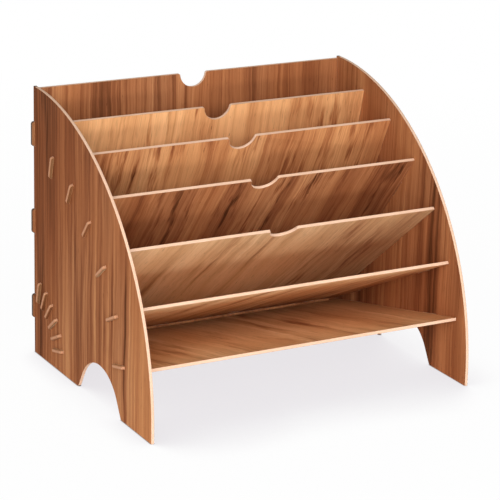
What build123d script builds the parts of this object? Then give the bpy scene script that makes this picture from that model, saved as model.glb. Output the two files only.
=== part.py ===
from build123d import *
from math import cos, radians, sin, tan
import os

# Document organizer: two quarter-round sides, an upright back and six boards that fan out from the lower
# rear edge. Flat boards of one thickness lock together with tabs in slots. Millimetres, +Z up, front at -Y.

# Stock and fits
board = 3.0                # thickness of every board
fit_clearance = 0.1        # play round each tab and at each shoulder
overrun = 5.0              # how far a cut runs past the face it opens

# Sides
side_span = 335.0          # across the outer faces of the two sides
side_radius = 257.0        # front curve, struck from the rear edge
toe_height = 9.4           # straight foot of the front edge, below the curve
arch_reach = 148.5         # middle of the arch, forward of the rear edge
arch_height = 37.0
arch_radius = 43.0         # round top of the arch
arch_flank = 60.0          # slope of the arch's flanks, degrees from the floor
foot_rounding = 4.0        # corners where the arch meets the floor

# Fan of boards
notched_boards = ["divider_1", "divider_2", "divider_3", "divider_4"]    # rear to front
plain_boards = ["upper_shelf", "lower_shelf"]
fan_height = 6.8           # height of the line on the rear edge that all boards point at
front_setback = 14.4       # front edges of the boards, behind the sides' front curve
back_gap = 0.45            # room between the steepest board's rear edge and the back panel

# Tabs that pass through the sides
tab_length = 22.0
tab_proud = 3.0            # how far tabs and ears stand out past the sides
tab_rounding = 2.5
front_tab_inset = 46.6     # middle of the front tabs, behind the front edge
rear_tab_reach = 59.0      # middle of the rear tabs, forward of the fan line

# Finger notches
notch_radius = 14.0
notch_lip = 2.0            # rounding where a notch meets the edge

# Back panel
back_drop = 1.8            # its top edge, below the top of the sides
back_lift = 4.0            # its lower edge, above the floor
ear_count = 3
ear_pitch = 86.0
ear_length = 24.0

# Places that follow from the sizes above
side_height = toe_height + side_radius
rear_edge = side_radius / 2
inner_span = side_span - 2 * board
shoulder_span = inner_span - 2 * fit_clearance
proud_span = side_span + 2 * tab_proud
fan_boards = notched_boards + plain_boards
fan_step = 90 / (len(fan_boards) + 1)
fan_angles = {name: 90 - fan_step * (place + 1) for place, name in enumerate(fan_boards)}
steepest = radians(max(fan_angles.values()))
rear_setback = (board + back_gap + board / 2 * sin(steepest)) / cos(steepest)
board_front = side_radius - front_setback
board_middle = (board_front + rear_setback) / 2
tab_radii = [rear_tab_reach, board_front - front_tab_inset]
back_height = side_height - back_drop - back_lift
back_middle = back_lift + back_height / 2
ear_offsets = [ear_pitch * (place - (ear_count - 1) / 2) for place in range(ear_count)]


# Outline of a side in the upright plane: curve, toe, arch and the two feet
def side_outline():
    arch_centre = rear_edge - arch_reach
    hub_height = arch_height - arch_radius
    curve = CenterArc((rear_edge, toe_height), side_radius, 90, 90)
    arch = CenterArc((arch_centre, hub_height), arch_radius, 90 - arch_flank, 2 * arch_flank)
    arch_rear = arch @ 0
    arch_front = arch @ 1
    spread = Vector(arch_rear.Y / tan(radians(arch_flank)), 0)
    rear_foot = Vector(arch_rear.X, 0) + spread
    front_foot = Vector(arch_front.X, 0) - spread
    front = Polyline(curve @ 1, (rear_edge - side_radius, 0), front_foot, arch_front)
    rear = Polyline(arch_rear, rear_foot, (rear_edge, 0), curve @ 0)
    outline = make_face(curve + front + arch + rear)
    foot_corners = outline.vertices().group_by(Axis.Y)[0].sort_by(Axis.X)[1:3]
    return fillet(foot_corners, foot_rounding)


# Closed slots for the tabs of every board in the fan
def tab_slots():
    slot = Rectangle(tab_length + 2 * fit_clearance, board + 2 * fit_clearance)
    slots = Sketch()
    for angle in fan_angles.values():
        for radius in tab_radii:
            slots += Pos(rear_edge, fan_height) * Rot(Z=180 - angle) * Pos(radius, 0) * slot
    return slots


# Open notches in the rear edge for the ears of the back panel
def ear_notches():
    depth = board + fit_clearance + overrun
    notch = Rectangle(depth, ear_length + 2 * fit_clearance, align=(Align.MIN, Align.CENTER))
    notches = Sketch()
    for offset in ear_offsets:
        notches += Pos(rear_edge - board - fit_clearance, back_middle + offset) * notch
    return notches


# One side board, its outer or inner face starting at the given distance across
def side(start):
    profile = side_outline() - tab_slots() - ear_notches()
    return Pos(start, 0, 0) * extrude(Plane.YZ * profile, board)


# Flat board between the sides with rounded tabs at the given places, and a finger notch if asked for
def tabbed_sheet(middle, height, places, length, notched):
    sheet = Pos(0, middle) * Rectangle(shoulder_span, height)
    for place in places:
        sheet += Pos(0, place) * Rectangle(proud_span, length)
    tab_corners = sheet.vertices().group_by(Axis.X)
    sheet = fillet(tab_corners[0] + tab_corners[-1], tab_rounding)
    if notched:
        sheet -= Pos(0, middle + height / 2) * Circle(notch_radius)
        lips = sheet.vertices().group_by(Axis.Y)[-1].sort_by(Axis.X)[1:3]
        sheet = fillet(lips, notch_lip)
    return sheet


# Board of the fan, turned about the fan line so that it rises towards the front
def fan_board(angle, notched):
    depth = board_front - rear_setback
    sheet = tabbed_sheet(board_middle, depth, tab_radii, tab_length, notched)
    plate = extrude(sheet, board / 2, both=True)
    return Pos(0, rear_edge, fan_height) * Rot(X=180 - angle) * plate


# Upright back between the sides, flush with their rear edges
def back_panel():
    places = [back_middle + offset for offset in ear_offsets]
    sheet = tabbed_sheet(back_middle, back_height, places, ear_length, True)
    return Pos(0, rear_edge, 0) * extrude(Plane.XZ * sheet, board)


parts = {
    "left_side": side(-side_span / 2),
    "right_side": side(side_span / 2 - board),
    "back_panel": back_panel(),
}
for name, angle in fan_angles.items():
    parts[name] = fan_board(angle, name in notched_boards)

os.makedirs("parts", exist_ok=True)
for name, shape in parts.items():
    export_step(shape, f"parts/{name}.step")
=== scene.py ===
import math

import bmesh
import bpy
from mathutils import Matrix, Vector


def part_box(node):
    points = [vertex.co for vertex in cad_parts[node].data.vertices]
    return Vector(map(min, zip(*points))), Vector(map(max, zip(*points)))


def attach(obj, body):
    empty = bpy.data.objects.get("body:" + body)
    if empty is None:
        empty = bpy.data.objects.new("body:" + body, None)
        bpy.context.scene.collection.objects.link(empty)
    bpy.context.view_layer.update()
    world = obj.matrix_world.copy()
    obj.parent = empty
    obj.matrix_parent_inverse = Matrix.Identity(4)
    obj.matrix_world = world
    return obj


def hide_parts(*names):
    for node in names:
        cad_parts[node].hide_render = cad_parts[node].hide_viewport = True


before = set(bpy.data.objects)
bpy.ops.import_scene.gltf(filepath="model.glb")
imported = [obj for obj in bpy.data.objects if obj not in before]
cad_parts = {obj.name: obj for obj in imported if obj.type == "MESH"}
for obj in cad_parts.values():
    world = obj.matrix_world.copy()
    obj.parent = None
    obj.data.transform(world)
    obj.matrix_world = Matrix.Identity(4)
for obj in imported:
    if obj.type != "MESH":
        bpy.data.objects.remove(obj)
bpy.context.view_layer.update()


# Sides: two quarter discs routed from 3 mm fibreboard that is printed with walnut grain on both
# faces. The router leaves the pale fibre core bare on every cut edge, also inside the slots.
# They stand on two feet each, and the tabs of all the other boards pass through them.

def add_node(tree, kind, feeds=None, **settings):
    """Place a node, set its own options, then fill or link its inputs."""
    node = tree.nodes.new(kind)
    for option, value in settings.items():
        setattr(node, option, value)
    for socket, value in (feeds or {}).items():
        if isinstance(value, bpy.types.NodeSocket):
            tree.links.new(value, node.inputs[socket])
        else:
            node.inputs[socket].default_value = value
    return node


def work_out(tree, operation, first, second=0.0, third=0.0):
    """One sum in a node tree, on sockets or on plain numbers."""
    feeds = {0: first, 1: second, 2: third}
    return add_node(tree, "ShaderNodeMath", feeds, operation=operation).outputs[0]


def stretch_range(tree, value, low, high, new_low=0.0, new_high=1.0):
    """Spread the range low to high over new_low to new_high, and hold it there."""
    feeds = {0: value, 1: low, 2: high, 3: new_low, 4: new_high}
    return add_node(tree, "ShaderNodeMapRange", feeds).outputs[0]


def mix_colours(tree, mode, share, base, other):
    """Lay one colour over another. A mix node's colours are its inputs 6 and 7 and its output 2."""
    feeds = {0: share, 6: base, 7: other}
    return add_node(tree, "ShaderNodeMix", feeds, data_type="RGBA", blend_type=mode).outputs[2]


def split_axes(tree, vector):
    """The three parts of a vector."""
    return add_node(tree, "ShaderNodeSeparateXYZ", {0: vector}).outputs


def join_axes(tree, first, second, third):
    """A vector from its three parts."""
    return add_node(tree, "ShaderNodeCombineXYZ", {0: first, 1: second, 2: third}).outputs[0]


def drawn_noise(tree, sheet, changes_along, changes_across, detail):
    """Noise drawn out along the grain, with so many changes to a metre each way."""
    along, over, layer = sheet
    drawn_along = work_out(tree, "MULTIPLY", along, changes_along)
    drawn_over = work_out(tree, "MULTIPLY", over, changes_across)
    place = join_axes(tree, drawn_along, drawn_over, layer)
    feeds = {"Vector": place, "Scale": 1.0, "Detail": detail, "Roughness": 0.6}
    return add_node(tree, "ShaderNodeTexNoise", feeds).outputs[0]


def swing(tree, noise):
    """Noise that swings about zero."""
    return work_out(tree, "SUBTRACT", noise, 0.5)


surface_outputs = {"Colour": "NodeSocketColor", "Roughness": "NodeSocketFloat", "Relief": "NodeSocketFloat"}


def new_group(name, inputs, outputs):
    """An empty shader node group with its named sockets."""
    group = bpy.data.node_groups.new(name, "ShaderNodeTree")
    for socket, kind in inputs.items():
        group.interface.new_socket(socket, in_out="INPUT", socket_type=kind)
    for socket, kind in outputs.items():
        group.interface.new_socket(socket, in_out="OUTPUT", socket_type=kind)
    return group


def make_walnut_grain():
    """Printed walnut: soft bands, streaks, fine lines, dark feathered strokes, dashes and pores."""
    sheet_values = ("Tone", "Golden", "Darken")
    figure_values = ("Wander", "Band", "Streak", "Line", "Stroke", "Stroke Run", "Stroke Across")
    inputs = {"Grain": "NodeSocketVector"}
    inputs.update(dict.fromkeys(sheet_values + figure_values, "NodeSocketFloat"))
    group = new_group("walnut_grain", inputs, surface_outputs)
    given = add_node(group, "NodeGroupInput").outputs

    # The two faces of a board lie in layers of the noise that are far apart
    along, over, depth = split_axes(group, given["Grain"])
    face_layer = 3.7
    layer = work_out(group, "MULTIPLY", work_out(group, "SIGN", depth), face_layer)
    flat_sheet = (along, over, layer)

    # The grain wanders in slow bends with small quick ones on them
    quick_share = 0.3
    slow_noise = drawn_noise(group, flat_sheet, changes_along=6.0, changes_across=9.0, detail=3.0)
    quick_noise = drawn_noise(group, flat_sheet, changes_along=26.0, changes_across=44.0, detail=3.0)
    bend = work_out(group, "MULTIPLY_ADD", swing(group, quick_noise), quick_share, swing(group, slow_noise))
    bent_over = work_out(group, "MULTIPLY_ADD", bend, given["Wander"], over)
    bent_sheet = (along, bent_over, layer)

    # Figures that follow the grain: changes to a metre along it and across it, and their detail
    figure_counts = {
        "drift": (1.6, 12.0, 2.0),
        "band": (1.4, 34.0, 1.0),
        "streak": (2.4, 62.0, 2.0),
        "fine_line": (3.0, 260.0, 2.0),
        "vein": (2.5, 240.0, 1.0),
        "thread": (9.0, 900.0, 1.0),
        "dash": (110.0, 620.0, 1.0),
        "pore": (70.0, 1500.0, 1.0),
        "feather": (given["Stroke Run"], given["Stroke Across"], 3.0),
    }
    figures = {}
    for figure, counts in figure_counts.items():
        figures[figure] = drawn_noise(group, bent_sheet, *counts)

    # Quiet and lively zones of the sheet
    zone = drawn_noise(group, flat_sheet, changes_along=5.0, changes_across=16.0, detail=1.0)
    quiet = 0.38
    lively = 0.62
    busy = stretch_range(group, zone, quiet, lively, new_low=0.4, new_high=1.3)
    stroke_share = stretch_range(group, zone, quiet, lively, new_low=0.15)

    # Tone of the print, from dark to light
    drift_strength = 0.5
    thread_strength = 0.3
    tone = given["Tone"]
    for figure, strength in (
        (figures["drift"], drift_strength),
        (stretch_range(group, figures["band"], low=0.40, high=0.60), given["Band"]),
        (figures["streak"], work_out(group, "MULTIPLY", given["Streak"], busy)),
        (figures["fine_line"], work_out(group, "MULTIPLY", given["Line"], busy)),
        (figures["thread"], thread_strength),
    ):
        tone = work_out(group, "MULTIPLY_ADD", swing(group, figure), strength, tone)
    vein = stretch_range(group, figures["vein"], low=0.58, high=0.64, new_high=0.24)
    feather = stretch_range(group, figures["feather"], low=0.52, high=0.68)
    stroke = work_out(group, "MULTIPLY", feather, stroke_share)
    for mark, strength in ((vein, given["Line"]), (stroke, given["Stroke"])):
        tone = work_out(group, "SUBTRACT", tone, work_out(group, "MULTIPLY", mark, strength))

    walnut_tones = {
        0.00: (0.100, 0.030, 0.010),
        0.28: (0.270, 0.083, 0.030),
        0.50: (0.440, 0.160, 0.060),
        0.72: (0.610, 0.262, 0.102),
        1.00: (0.800, 0.400, 0.170),
        1.25: (0.930, 0.510, 0.235),
    }
    lightest = max(walnut_tones)
    ramp = add_node(group, "ShaderNodeValToRGB", {0: work_out(group, "DIVIDE", tone, lightest)})
    stops = ramp.color_ramp.elements
    for stop_tone in list(walnut_tones)[1:-1]:
        stops.new(stop_tone / lightest)
    for stop, colour in zip(stops, walnut_tones.values()):
        stop.color = (*colour, 1.0)

    # Golden zones, then dark dashes, pores and the darkening of tabs and ears over all
    # The golden cast is partly the print's golden zones and partly painted light: its amount on each board
    # shifts the colour to stand in for light bounced inside the compartments.
    golden_cast = (1.0, 1.25, 1.55, 1.0)
    zone_cast = 1.2
    cast = work_out(group, "MULTIPLY_ADD", swing(group, zone), zone_cast, given["Golden"])
    cast = stretch_range(group, cast, low=0.0, high=1.0)
    colour = mix_colours(group, "MULTIPLY", cast, ramp.outputs[0], golden_cast)
    dark = (0.085, 0.026, 0.010, 1.0)
    dash = stretch_range(group, figures["dash"], low=0.74, high=0.80, new_high=0.5)
    pore = stretch_range(group, figures["pore"], low=0.60, high=0.72, new_high=0.25)
    for mark in (dash, pore, given["Darken"]):
        colour = mix_colours(group, "MIX", mark, colour, dark)

    dull = 0.70
    satin = 0.60
    add_node(group, "NodeGroupOutput", {
        "Colour": colour,
        "Roughness": stretch_range(group, figures["streak"], 0.2, 0.8, dull, satin),
        "Relief": work_out(group, "SUBTRACT", figures["thread"], pore),
    })
    return group


def make_fibre_core():
    """Bare cut edge: pale pressed fibres, with the thin brown print paper along both rims."""
    inputs = {
        "Place": "NodeSocketVector",
        "Depth": "NodeSocketFloat",
        "Core": "NodeSocketFloat",
        "Darkened": "NodeSocketFloat",
        "Darkened Colour": "NodeSocketColor",
    }
    group = new_group("fibre_core", inputs, surface_outputs)
    given = add_node(group, "NodeGroupInput").outputs
    cloud_feeds = {"Vector": given["Place"], "Scale": 60.0, "Detail": 4.0}
    fibre_feeds = {"Vector": given["Place"], "Scale": 1800.0, "Detail": 3.0}
    cloud = add_node(group, "ShaderNodeTexNoise", cloud_feeds).outputs[0]
    fibre = add_node(group, "ShaderNodeTexNoise", fibre_feeds).outputs[0]
    pale = (0.860, 0.575, 0.405, 1.0)
    warm = (0.780, 0.485, 0.315, 1.0)
    speck = (0.500, 0.270, 0.150, 1.0)
    paper = (0.420, 0.200, 0.100, 1.0)
    paper_thickness = 0.00015
    past_core = work_out(group, "SUBTRACT", work_out(group, "ABSOLUTE", given["Depth"]), given["Core"])
    colour = pale
    for mark, mark_colour in (
        (stretch_range(group, cloud, 0.35, 0.70, 0.0, 0.55), warm),
        (stretch_range(group, fibre, 0.55, 0.75, 0.0, 0.50), speck),
        (stretch_range(group, past_core, 0.0, paper_thickness, 0.0, 0.70), paper),
        # Last, the core is darkened where the caller asks: on tabs, ears and the sides' rear top corner
        (given["Darkened"], given["Darkened Colour"]),
    ):
        colour = mix_colours(group, "MIX", mark, colour, mark_colour)
    add_node(group, "NodeGroupOutput", {
        "Colour": colour,
        "Roughness": stretch_range(group, fibre, 0.3, 0.7, 0.72, 0.90),
        "Relief": fibre,
    })
    return group


walnut_grain = make_walnut_grain()
fibre_core = make_fibre_core()


def new_material(name):
    """A material with its Principled shader and no colour yet."""
    material = bpy.data.materials.new(name)
    material.use_nodes = True
    return material, material.node_tree, material.node_tree.nodes["Principled BSDF"]


def finish_surface(tree, shader, group, relief_depth):
    """Lead a group's colour, roughness and relief into the shader."""
    bump = add_node(tree, "ShaderNodeBump", {
        "Height": group.outputs["Relief"],
        "Distance": relief_depth,
        "Strength": 0.5,
    })
    tree.links.new(group.outputs["Colour"], shader.inputs["Base Color"])
    tree.links.new(group.outputs["Roughness"], shader.inputs["Roughness"])
    tree.links.new(bump.outputs[0], shader.inputs["Normal"])


def own_place(tree):
    """Place on the piece, in metres in the organizer's frame."""
    return add_node(tree, "ShaderNodeTexCoord").outputs["Object"]


def stored_vector(tree, name):
    """A vector that the board's mesh carries under this name."""
    return add_node(tree, "ShaderNodeAttribute", attribute_name=name).outputs["Vector"]


side_low, side_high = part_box("left_side")
side_outside = abs(side_low[0])
side_rear = side_high[1]
side_top = side_high[2]


def how_far_out(tree):
    """Mask that is 0 up to the outer faces of the sides and 1 on the tabs and ears beyond them."""
    blur = 0.0002
    from_middle = work_out(tree, "ABSOLUTE", split_axes(tree, own_place(tree))[0])
    return stretch_range(tree, from_middle, side_outside - blur, side_outside + blur)


def rear_top_corner(tree):
    """Mask that is 1 on the last few millimetres of the sides' edge, at the rear top corner, where the edge
    is made darker.
    """
    dark_length = 0.0040
    dark_height = 0.0015
    length_blur = 0.0010
    height_blur = 0.0005
    parts = split_axes(tree, own_place(tree))
    dark_front = side_rear - dark_length
    dark_foot = side_top - dark_height
    near_rear = stretch_range(tree, parts[1], dark_front, dark_front + length_blur)
    near_top = stretch_range(tree, parts[2], dark_foot, dark_foot + height_blur)
    return work_out(tree, "MULTIPLY", near_rear, near_top)


def make_print(name, wander, band, streak, line, stroke, stroke_run, stroke_across):
    """Walnut print under a thin satin lacquer, darkened where a tab or ear stands out of a side."""
    pore_depth = 0.00003
    material, tree, shader = new_material(name)
    shader.inputs["Specular IOR Level"].default_value = 0.03
    # The stored shade holds the tone with its painted light and shade, the golden cast, and how far tabs
    # and ears are darkened
    tone, golden, tab_darken = split_axes(tree, stored_vector(tree, "shade"))
    group = add_node(tree, "ShaderNodeGroup", {
        "Grain": stored_vector(tree, "grain"),
        "Tone": tone,
        "Golden": golden,
        "Darken": work_out(tree, "MULTIPLY", how_far_out(tree), tab_darken),
        "Wander": wander,
        "Band": band,
        "Streak": streak,
        "Line": line,
        "Stroke": stroke,
        "Stroke Run": stroke_run,
        "Stroke Across": stroke_across,
    }, node_tree=walnut_grain)
    finish_surface(tree, shader, group, pore_depth)
    return material


half_core = 0.00122


def make_cut_edge(name, tab_half_core, tab_edge_darken, darkened_colour):
    """The bare core on a routed edge, darker on the tabs and ears beyond the sides and at the sides' rear
    top corner.
    """
    fibre_depth = 0.00008
    material, tree, shader = new_material(name)
    shader.inputs["Specular IOR Level"].default_value = 0.2
    out_of_side = how_far_out(tree)
    group = add_node(tree, "ShaderNodeGroup", {
        "Place": own_place(tree),
        "Depth": split_axes(tree, stored_vector(tree, "grain"))[2],
        "Core": stretch_range(tree, out_of_side, 0.0, 1.0, half_core, tab_half_core),
        "Darkened": work_out(tree, "MULTIPLY_ADD", out_of_side, tab_edge_darken, rear_top_corner(tree)),
        "Darkened Colour": darkened_colour,
    }, node_tree=fibre_core)
    finish_surface(tree, shader, group, fibre_depth)
    return material


def make_printed_board():
    """Tree that lays the print on a board: grain coordinates, printed faces and bare edges."""
    tree = bpy.data.node_groups.new("printed_board", "GeometryNodeTree")
    tree.is_modifier = True
    sockets = {
        "Board": "NodeSocketGeometry",
        "Middle": "NodeSocketVector",
        "Facing": "NodeSocketVector",
        "Grain Run": "NodeSocketVector",
        "Sheet": "NodeSocketInt",
        "Tone": "NodeSocketFloat",
        "Golden": "NodeSocketFloat",
        "Shade Across": "NodeSocketFloat",
        "Shade Along": "NodeSocketFloat",
        "Tab Darken": "NodeSocketFloat",
        "Print": "NodeSocketMaterial",
        "Cut Edge": "NodeSocketMaterial",
    }
    for socket, kind in sockets.items():
        tree.interface.new_socket(socket, in_out="INPUT", socket_type=kind)
    tree.interface.new_socket("Board", in_out="OUTPUT", socket_type="NodeSocketGeometry")
    given = add_node(tree, "NodeGroupInput").outputs

    def vector_sum(operation, first, second):
        return add_node(tree, "ShaderNodeVectorMath", {0: first, 1: second}, operation=operation).outputs

    def store_vector(board, name, vector):
        feeds = {"Geometry": board, "Name": name, "Value": vector}
        kind = "GeometryNodeStoreNamedAttribute"
        return add_node(tree, kind, feeds, data_type="FLOAT_VECTOR", domain="POINT").outputs[0]

    # Grain coordinates, moved to another part of the printed sheet for each board
    sheet_reach = 4.0
    position = add_node(tree, "GeometryNodeInputPosition").outputs[0]
    from_middle = vector_sum("SUBTRACT", position, given["Middle"])[0]
    cross_run = vector_sum("CROSS_PRODUCT", given["Facing"], given["Grain Run"])[0]
    along = vector_sum("DOT_PRODUCT", from_middle, given["Grain Run"])["Value"]
    over = vector_sum("DOT_PRODUCT", from_middle, cross_run)["Value"]
    depth = vector_sum("DOT_PRODUCT", from_middle, given["Facing"])["Value"]
    shift = add_node(tree, "FunctionNodeRandomValue", {
        0: (-sheet_reach, -sheet_reach, 0.0),
        1: (sheet_reach, sheet_reach, 0.0),
        "ID": given["Sheet"],
        "Seed": 0,
    }, data_type="FLOAT_VECTOR").outputs[0]
    grain = vector_sum("ADD", join_axes(tree, along, over, depth), shift)[0]

    # Tone of the sheet, with painted light and shade that fade it slowly across the board and along it
    faded_across = work_out(tree, "MULTIPLY_ADD", over, given["Shade Across"], given["Tone"])
    faded = work_out(tree, "MULTIPLY_ADD", along, given["Shade Along"], faded_across)
    shade = join_axes(tree, faded, given["Golden"], given["Tab Darken"])
    board = store_vector(given["Board"], "grain", grain)
    board = store_vector(board, "shade", shade)

    # What faces along the board's thickness is printed, and the rest is bare
    least_face_on = 0.99
    normal = add_node(tree, "GeometryNodeInputNormal").outputs[0]
    face_on = work_out(tree, "ABSOLUTE", vector_sum("DOT_PRODUCT", normal, given["Facing"])["Value"])
    whole = add_node(tree, "GeometryNodeRealizeInstances", {0: board})
    printed = add_node(tree, "GeometryNodeSetMaterial", {
        "Geometry": whole.outputs[0],
        "Material": given["Print"],
    })
    edged = add_node(tree, "GeometryNodeSetMaterial", {
        "Geometry": printed.outputs[0],
        "Selection": work_out(tree, "LESS_THAN", face_on, least_face_on),
        "Material": given["Cut Edge"],
    })
    add_node(tree, "NodeGroupOutput", {0: edged.outputs[0]})
    return tree


printed_board = make_printed_board()


def set_inputs(modifier, values):
    """Set a node modifier's inputs by the names that its tree gives them."""
    for item in modifier.node_group.interface.items_tree:
        if item.in_out == "INPUT" and item.name in values:
            modifier[item.identifier] = values[item.name]


def merged_blank(node):
    """The shape of a node as one closed mesh, with its flat faces whole and its edges eased."""
    merge_distance = 1e-6
    flat_angle = 0.001
    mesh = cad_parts[node].data.copy()
    mesh.materials.clear()
    shape = bmesh.new()
    shape.from_mesh(mesh)
    bmesh.ops.remove_doubles(shape, verts=shape.verts, dist=merge_distance)
    bmesh.ops.dissolve_limit(shape, angle_limit=flat_angle, verts=shape.verts, edges=shape.edges)
    shape.to_mesh(mesh)
    shape.free()
    blank = bpy.data.objects.new(node + "_blank", mesh)
    bpy.context.scene.collection.objects.link(blank)
    easing = blank.modifiers.new("eased_edges", "BEVEL")
    easing.width = 0.00025
    easing.segments = 2
    easing.limit_method = "ANGLE"
    easing.angle_limit = math.radians(35.0)
    easing.use_clamp_overlap = False
    easing.harden_normals = True
    return blank


def make_board(node, facing, grain_run, face, edge, sheet, tone, golden,
               tab_darken=0.0, shade_across=0.0, shade_along=0.0):
    """A finished board, cut from its own part of the printed sheet. It stands for its node."""
    low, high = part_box(node)
    blank = merged_blank(node)
    lay_print = blank.modifiers.new("printed", "NODES")
    lay_print.node_group = printed_board
    set_inputs(lay_print, {
        "Middle": tuple((Vector(low) + Vector(high)) / 2),
        "Facing": tuple(facing),
        "Grain Run": tuple(grain_run),
        "Sheet": sheet,
        "Tone": tone,
        "Golden": golden,
        "Shade Across": shade_across,
        "Shade Along": shade_along,
        "Tab Darken": tab_darken,
        "Print": face,
        "Cut Edge": edge,
    })
    depsgraph = bpy.context.evaluated_depsgraph_get()
    finished = bpy.data.meshes.new_from_object(blank.evaluated_get(depsgraph), depsgraph=depsgraph)
    bpy.data.objects.remove(blank)
    piece = bpy.data.objects.new(node + "_board", finished)
    bpy.context.scene.collection.objects.link(piece)
    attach(piece, "root")
    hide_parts(node)


across = Vector((1.0, 0.0, 0.0))
upright = Vector((0.0, 0.0, 1.0))
cut_edge = make_cut_edge(
    "bare_cut_edge",
    tab_half_core=half_core,
    tab_edge_darken=0.0,
    darkened_colour=(0.07, 0.04, 0.03, 1.0),
)
straight_print = make_print(
    "walnut_print_straight",
    wander=0.010,
    band=0.16,
    streak=0.40,
    line=0.58,
    stroke=0.26,
    stroke_run=5.0,
    stroke_across=130.0,
)
quiet_print = make_print(
    "walnut_print_quiet",
    wander=0.012,
    band=0.18,
    streak=0.55,
    line=0.48,
    stroke=0.20,
    stroke_run=5.0,
    stroke_across=130.0,
)
# The fades paint light and shade: the left side lighter towards the front and darker towards the top, the
# right side darker towards the rear and lighter towards the top.
left_look = dict(sheet=5001, tone=0.46, golden=0.10, shade_across=0.8, shade_along=-0.8)
right_look = dict(sheet=102, tone=0.41, golden=0.2, shade_across=0.3, shade_along=0.4)
make_board("left_side", across, upright, straight_print, cut_edge, **left_look)
make_board("right_side", across, upright, quiet_print, cut_edge, **right_look)


# Dividers and shelves: six boards of the same printed fibreboard that fan out from a line at the
# rear edge, seven steps to the right angle. Each one hangs on four tabs, two in either side, and
# the upper four have a half-round finger notch in the front edge.

fan_steps = 7
# The fades paint light and shade: the upper shelf and divider 1 darker towards the right end, dividers 2
# and 3 darker at the left end, divider 4 lighter at the left end and further down its slope.
calm_looks = {
    "lower_shelf": dict(sheet=11, tone=1.00, golden=0.5, tab_darken=0.35),
    "upper_shelf": dict(sheet=12, tone=0.96, golden=0.6, tab_darken=0.40, shade_across=1.4),
    "divider_4": dict(sheet=6213, tone=1.05, golden=0.9, tab_darken=0.55, shade_across=0.8, shade_along=0.6),
}
flamed_looks = {
    "divider_3": dict(sheet=314, tone=0.45, golden=0.3, tab_darken=0.50, shade_across=-0.2),
    "divider_2": dict(sheet=215, tone=0.69, golden=-0.05, tab_darken=0.70, shade_across=-0.3),
    "divider_1": dict(sheet=6116, tone=0.99, golden=-0.2, tab_darken=0.75, shade_across=0.4),
}
tab_edge = make_cut_edge(
    "darkened_tab_edge",
    tab_half_core=0.0007,
    tab_edge_darken=0.70,
    darkened_colour=(0.50, 0.20, 0.08, 1.0),
)
calm_print = make_print(
    "walnut_print_calm",
    wander=0.018,
    band=0.20,
    streak=0.80,
    line=0.35,
    stroke=0.45,
    stroke_run=8.0,
    stroke_across=95.0,
)
flamed_print = make_print(
    "walnut_print_flamed",
    wander=0.014,
    band=0.24,
    streak=0.70,
    line=0.46,
    stroke=0.56,
    stroke_run=16.0,
    stroke_across=130.0,
)
fan_looks = {**calm_looks, **flamed_looks}
for step, (node, fan_look) in enumerate(fan_looks.items(), start=1):
    rise = math.radians(90.0 * step / fan_steps)
    down_the_slope = Vector((0.0, math.cos(rise), -math.sin(rise)))
    facing = across.cross(down_the_slope)
    face = calm_print if node in calm_looks else flamed_print
    make_board(node, facing, down_the_slope, face, tab_edge, **fan_look)


# Back panel: a plain rectangle of the same board with a finger notch in its top edge. Three ears at
# each end sit in the open notches of the sides' rear edges. Its grain runs upright like that of the
# sides, and the cut ends of its ears are darkened nearly black.

rearward = Vector((0.0, 1.0, 0.0))
back_sheet = dict(sheet=5, tone=0.40, golden=0.3, tab_darken=0.30)
ear_edge = make_cut_edge(
    "darkened_ear_edge",
    tab_half_core=0.0010,
    tab_edge_darken=0.92,
    darkened_colour=(0.07, 0.035, 0.022, 1.0),
)
make_board("back_panel", rearward, upright, straight_print, ear_edge, **back_sheet)


# Floor: a wide sheet of white paper. The camera sees it as plain white, darker where the organizer
# shelters it: a wide soft shadow that leans to the front, a closer one along the boards, and a thin
# dark line where the feet touch.

floor_reach = 6.0
floor_corners = [
    (-floor_reach, -floor_reach, 0.0),
    (floor_reach, -floor_reach, 0.0),
    (floor_reach, floor_reach, 0.0),
    (-floor_reach, floor_reach, 0.0),
]
floor_mesh = bpy.data.meshes.new("floor")
floor_mesh.from_pydata(floor_corners, [], [(0, 1, 2, 3)])
floor = bpy.data.objects.new("floor", floor_mesh)
bpy.context.scene.collection.objects.link(floor)
floor_paint, floor_tree, floor_shader = new_material("floor_white")
floor_shader.inputs["Base Color"].default_value = (0.93, 0.94, 0.97, 1.0)
floor_shader.inputs["Roughness"].default_value = 0.9
floor_shader.inputs["Specular IOR Level"].default_value = 0.1


def open_view(reach, lean=None):
    """How open the view from the floor is, no further than this reach, straight up or leaning."""
    feeds = {"Distance": reach}
    if lean is not None:
        feeds["Normal"] = lean
    return add_node(floor_tree, "ShaderNodeAmbientOcclusion", feeds, samples=16).outputs["AO"]


wide_reach = 0.15
close_reach = 0.04
touch_reach = 0.002
wide_gain = 1.32
wide_falloff = 2.4
shadow_colour = (0.796, 0.770, 0.799, 1.0)
touch_colour = (0.20, 0.14, 0.11, 1.0)
white_colour = (1.0, 1.0, 1.0, 1.0)
shadow_lean = join_axes(floor_tree, -0.15, 0.83, 0.54)
wide_open = work_out(floor_tree, "MULTIPLY", open_view(wide_reach, shadow_lean), wide_gain)
wide_open = work_out(floor_tree, "POWER", wide_open, wide_falloff)
close_open = stretch_range(floor_tree, open_view(close_reach), low=0.20, high=0.85)
open_share = work_out(floor_tree, "MINIMUM", wide_open, close_open)
clear_of_foot = stretch_range(floor_tree, open_view(touch_reach), low=0.45, high=0.85)
shaded = mix_colours(floor_tree, "MIX", open_share, shadow_colour, white_colour)
shown_colour = mix_colours(floor_tree, "MIX", clear_of_foot, touch_colour, shaded)
white = add_node(floor_tree, "ShaderNodeEmission", {"Color": shown_colour, "Strength": 1.0})


def seen_or_mirrored(tree):
    """1 on rays from the camera, also by way of a glossy or clear surface, and 0 on other light."""
    rays = add_node(tree, "ShaderNodeLightPath").outputs
    mirrored = work_out(tree, "MAXIMUM", rays["Is Glossy Ray"], rays["Is Transmission Ray"])
    return work_out(tree, "MAXIMUM", rays["Is Camera Ray"], mirrored)


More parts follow.
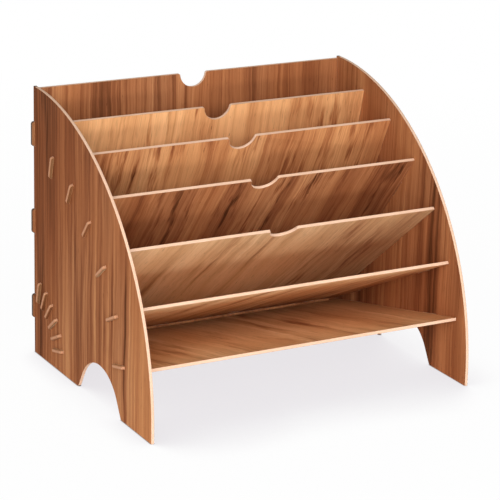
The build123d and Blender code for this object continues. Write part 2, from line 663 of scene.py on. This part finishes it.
near_edge = 0.3
far_edge = 1.2
near_white = 0.97
off_middle = add_node(floor_tree, "ShaderNodeVectorMath", {0: own_place(floor_tree)}, operation="LENGTH")
white_share = stretch_range(floor_tree, off_middle.outputs["Value"], near_edge, far_edge, near_white)
seen_white = work_out(floor_tree, "MULTIPLY", seen_or_mirrored(floor_tree), white_share)
floor_surface = add_node(floor_tree, "ShaderNodeMixShader", {
    0: seen_white,
    1: floor_shader.outputs[0],
    2: white.outputs[0],
})
floor_out = floor_tree.nodes["Material Output"]
floor_tree.links.new(floor_surface.outputs[0], floor_out.inputs["Surface"])
floor_mesh.materials.append(floor_paint)


# Light: an even white room that dims towards its ceiling, and one large soft lamp at the front
# left. A card in line with the slopes sends light into the compartments, and a low one lifts the
# undersides.

world = bpy.data.worlds.new("studio")
bpy.context.scene.world = world
world.use_nodes = True
sky = world.node_tree
room = sky.nodes["Background"]
room.inputs["Color"].default_value = (1.0, 1.0, 1.0, 1.0)
walls_level = 0.75
ceiling_level = 0.12
wall_top = 0.1
ceiling_edge = 0.9
sky_way = add_node(sky, "ShaderNodeTexCoord").outputs["Generated"]
climb = split_axes(sky, sky_way)[2]
level = stretch_range(sky, climb, wall_top, ceiling_edge, walls_level, ceiling_level)
sky.links.new(work_out(sky, "MAXIMUM", level, seen_or_mirrored(sky)), room.inputs["Strength"])

aim = Vector((0.0, 0.0, 0.12))


def hang_lamp(name, spot, width, height, power):
    """A soft lamp that points at the middle of the organizer."""
    data = bpy.data.lights.new(name, "AREA")
    data.shape = "RECTANGLE"
    data.size = width
    data.size_y = height
    data.energy = power
    lamp = bpy.data.objects.new(name, data)
    lamp.location = spot
    lamp.visible_camera = False
    lamp.rotation_euler = (Vector(spot) - aim).to_track_quat("Z", "Y").to_euler()
    bpy.context.scene.collection.objects.link(lamp)


hang_lamp("front_lamp", spot=(-1.28, -1.53, 1.05), width=1.2, height=1.2, power=24.0)
hang_lamp("slope_card", spot=(-0.25, -1.7, 0.85), width=1.0, height=0.4, power=9.0)
hang_lamp("fill_card", spot=(0.1, -1.3, 0.10), width=1.8, height=0.16, power=4.0)


# Camera: a long lens at the front left, a little above the organizer and rolled very slightly. Its
# place and turn were fitted to the board edges in the photograph.

camera_spot = Vector((-0.96410, -1.72604, 0.75767))
view_turn = math.radians(-29.152)
view_rise = math.radians(17.884)
view_roll = math.radians(1.509)
camera_data = bpy.data.cameras.new("camera")
camera_data.sensor_fit = "HORIZONTAL"
camera_data.sensor_width = 36.0
camera_data.lens = 157.83
camera_data.clip_end = 50.0
camera = bpy.data.objects.new("camera", camera_data)
bpy.context.scene.collection.objects.link(camera)
level_turn = Matrix.Rotation(view_turn, 4, "Z") @ Matrix.Rotation(math.pi / 2 - view_rise, 4, "X")
rolled_turn = level_turn @ Matrix.Rotation(view_roll, 4, "Z")
camera.matrix_world = Matrix.Translation(camera_spot) @ rolled_turn
bpy.context.scene.camera = camera
bpy.context.scene.view_settings.view_transform = "Standard"
